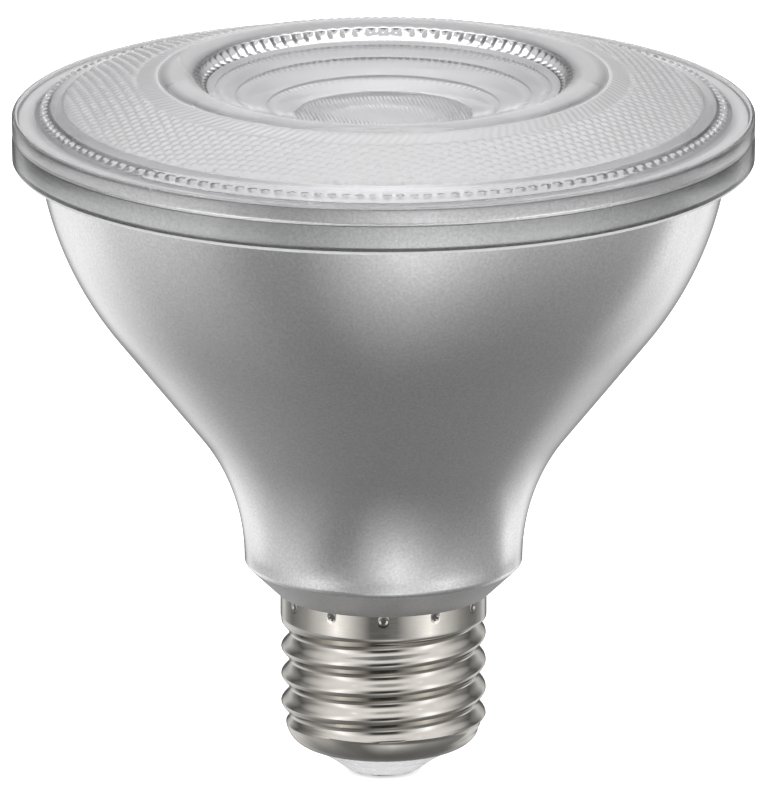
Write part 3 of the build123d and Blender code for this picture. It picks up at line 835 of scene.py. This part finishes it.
def make_room():
    """Studio round the lamp: a dim gap on the viewer's side between two tall soft lights, pale above.

    The grey level blends by height from straight down over the low bands and eye level to above, and in
    each band it follows the turn round the lamp.
    """
    world = bpy.data.worlds.new("studio")
    scene.world = world
    world.use_nodes = True
    tree = world.node_tree
    place = tree.nodes.new("ShaderNodeTexCoord")
    parts = tree.nodes.new("ShaderNodeSeparateXYZ")
    tree.links.new(place.outputs["Generated"], parts.inputs["Vector"])
    forward = calculate(tree, "MULTIPLY", parts.outputs["Y"], -1.0)
    turn = calculate(tree, "ARCTAN2", parts.outputs["X"], forward)
    around = calculate(tree, "ADD", calculate(tree, "DIVIDE", turn, 2 * math.pi), 0.5)
    aside = calculate(tree, "DIVIDE", calculate(tree, "ABSOLUTE", turn), math.pi)
    raised = calculate(tree, "ADD", calculate(tree, "MULTIPLY", parts.outputs["Z"], 0.5), 0.5)
    low = grey_ramp(tree, around, low_around)
    eye = grey_ramp(tree, aside, eye_around)
    under = grey_ramp(tree, around, under_around)
    lit = blend(tree, grey_ramp(tree, raised, under_share), level_down, under)
    lit = blend(tree, grey_ramp(tree, raised, low_share), lit, low)
    lit = blend(tree, grey_ramp(tree, raised, eye_share), lit, eye)
    lit = blend(tree, grey_ramp(tree, raised, above_share), lit, level_above)
    tree.links.new(lit, tree.nodes["Background"].inputs["Color"])


def make_floor():
    """Pale matt floor that glows faintly, so that it stays white under the lamp."""
    mesh = bpy.data.meshes.new("floor")
    reach = floor_reach_metres
    corners = [(-reach, -reach, 0), (reach, -reach, 0), (reach, reach, 0), (-reach, reach, 0)]
    mesh.from_pydata(corners, [], [(0, 1, 2, 3)])
    pale = finish("floor_white", (0.9, 0.9, 0.9), (0.92, 0.92, 0.92), 0.9, size=2.0)
    shader = pale.node_tree.nodes["Principled BSDF"]
    shader.inputs["Emission Color"].default_value = (1.0, 1.0, 1.0, 1.0)
    shader.inputs["Emission Strength"].default_value = floor_glow
    mesh.materials.append(pale)
    floor = bpy.data.objects.new("floor", mesh)
    scene.collection.objects.link(floor)
    floor.visible_glossy = False
    floor.visible_transmission = False


def make_camera():
    """Long lens at the photograph's elevation, so that the view is almost parallel."""
    data = bpy.data.cameras.new("camera")
    data.lens = camera_lens
    data.sensor_width = camera_sensor
    distance = frame_height / pixels_per_mm * camera_lens / camera_sensor * MM
    tilt = math.radians(view_elevation)
    target = Vector(view_target) * MM
    camera = bpy.data.objects.new("camera", data)
    camera.location = target + distance * Vector((0, -math.cos(tilt), math.sin(tilt)))
    camera.rotation_euler = (target - camera.location).to_track_quat("-Z", "Y").to_euler()
    data.clip_end = camera_clip_metres
    scene.collection.objects.link(camera)
    scene.camera = camera
    scene.view_settings.view_transform = "Standard"


make_camera()
make_room()
make_floor()
add_softbox("overhead", overhead_place, overhead_target, overhead_side, overhead_side, overhead_watts)

silver_outside = silvered_glass("silver_outside", (0.74, 0.74, 0.74), (0.89, 0.89, 0.89), 0.25, 1.0)
lens = make_lens(
    [
        clear_plastic("lens_front", roughness=0.0, clearness=1.0),
        clear_plastic("lens_back", roughness=0.3, clearness=0.6),
        silver_outside,
        clear_plastic("lens_scales", roughness=0.2, clearness=0.3, tone=0.48),
        clear_plastic("lens_crown", roughness=0.03, clearness=1.0, shine=0.25),
        clear_plastic("lens_beads", roughness=0.03, clearness=1.0, shine=0.1),
        clear_plastic("lens_dish", roughness=0.1, clearness=0.8),
        clear_plastic("lens_facets", roughness=0.02, clearness=1.0, shine=0.8, tone=0.55),
    ]
)
body = make_body(
    [
        silver_outside,
        clear_glass(),
        silvered_glass("silver_inside", (0.86, 0.86, 0.86), (0.9, 0.9, 0.9), 0.12, 0.0),
        finish("ground_edge", (0.4, 0.4, 0.4), (0.46, 0.46, 0.46), 0.5),
        silvered_glass("silver_foot", (0.74, 0.74, 0.74), (0.82, 0.82, 0.82), 0.6, 0.0),
    ]
)
# The second finish is near-black: painted shade in the floors of the staking marks
cap = make_cap([rolled_nickel(), finish("punched_mark_painted_shade", (0.04, 0.04, 0.038), (0.07, 0.07, 0.066), 0.5)])
for piece, node, slot in (
    (lens, "front_lens", "lens_clear"),
    (body, "glass_body", "silvered_glass"),
    (cap, "screw_shell", "nickel"),
):
    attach(piece, "root")
    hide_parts(node)

# Finishes of the pieces that stay as the frame has them
aluminium = finish("aluminium", (0.74, 0.75, 0.76), (0.82, 0.83, 0.84), 0.3, size=0.4, metallic=1.0)
steel = finish("screw_steel", (0.55, 0.55, 0.56), (0.63, 0.63, 0.64), 0.28, size=0.3, metallic=1.0)
tinned = finish("tinned_wire", (0.66, 0.66, 0.66), (0.74, 0.74, 0.73), 0.3, size=0.3, metallic=1.0)
ferrite = finish("ferrite", (0.035, 0.035, 0.037), (0.06, 0.06, 0.06), 0.55, size=0.3)
copper = finish("coil_copper", (0.62, 0.26, 0.1), (0.74, 0.36, 0.16), 0.3, size=0.3, metallic=1.0)
black_plastic = finish("black_plastic", (0.02, 0.02, 0.02), (0.035, 0.035, 0.035), 0.45)
white_plastic = finish("white_plastic", (0.78, 0.78, 0.76), (0.84, 0.84, 0.82), 0.4)
finishes = {
    "lens_seal": finish("silicone", (0.7, 0.7, 0.68), (0.78, 0.78, 0.76), 0.5),
    "heat_sink": aluminium,
    "thermal_pad": finish("thermal_pad", (0.4, 0.42, 0.45), (0.47, 0.49, 0.52), 0.8),
    "led_board": finish("board_white", (0.82, 0.82, 0.8), (0.88, 0.88, 0.86), 0.35),
    "led_emitter": finish("phosphor", (0.84, 0.76, 0.5), (0.9, 0.82, 0.58), 0.5, size=0.2),
    "board_screws": steel,
    "led_lead_positive": finish("lead_red", (0.45, 0.03, 0.03), (0.55, 0.05, 0.04), 0.45),
    "led_lead_negative": finish("lead_black", (0.02, 0.02, 0.02), (0.04, 0.04, 0.04), 0.45),
    "driver_housing": white_plastic,
    "housing_lid": white_plastic,
    "neck_bond": finish("adhesive", (0.7, 0.69, 0.64), (0.8, 0.79, 0.74), 0.6, size=1.5),
    "driver_board": finish("circuit_board", (0.03, 0.16, 0.07), (0.05, 0.22, 0.1), 0.4),
    "electrolytic_capacitor": finish("capacitor_sleeve", (0.03, 0.04, 0.09), (0.05, 0.06, 0.12), 0.35),
    "film_capacitor": finish("film_case", (0.55, 0.13, 0.04), (0.65, 0.17, 0.06), 0.4),
    "transformer_core": ferrite,
    "transformer_bobbin": black_plastic,
    "transformer_winding": finish("coil_tape", (0.7, 0.55, 0.08), (0.8, 0.64, 0.12), 0.4),
    "choke_core": ferrite,
    "choke_winding": copper,
    "bridge_rectifier": black_plastic,
    "control_chip": black_plastic,
    "fuse_resistor": finish("resistor_body", (0.14, 0.3, 0.42), (0.18, 0.36, 0.48), 0.5),
    "live_wire": finish("lead_white", (0.78, 0.78, 0.76), (0.84, 0.84, 0.82), 0.45),
    "neutral_wire": tinned,
    "cap_insulator": finish("insulator_white", (0.7, 0.7, 0.71), (0.74, 0.74, 0.75), 0.25, size=1.2),
    "centre_contact": finish("contact_metal", (0.5, 0.5, 0.5), (0.6, 0.6, 0.59), 0.3, size=0.4, metallic=1.0),
}
for node, material in finishes.items():
    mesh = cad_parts[node].data
    mesh.materials.clear()
    mesh.materials.append(material)
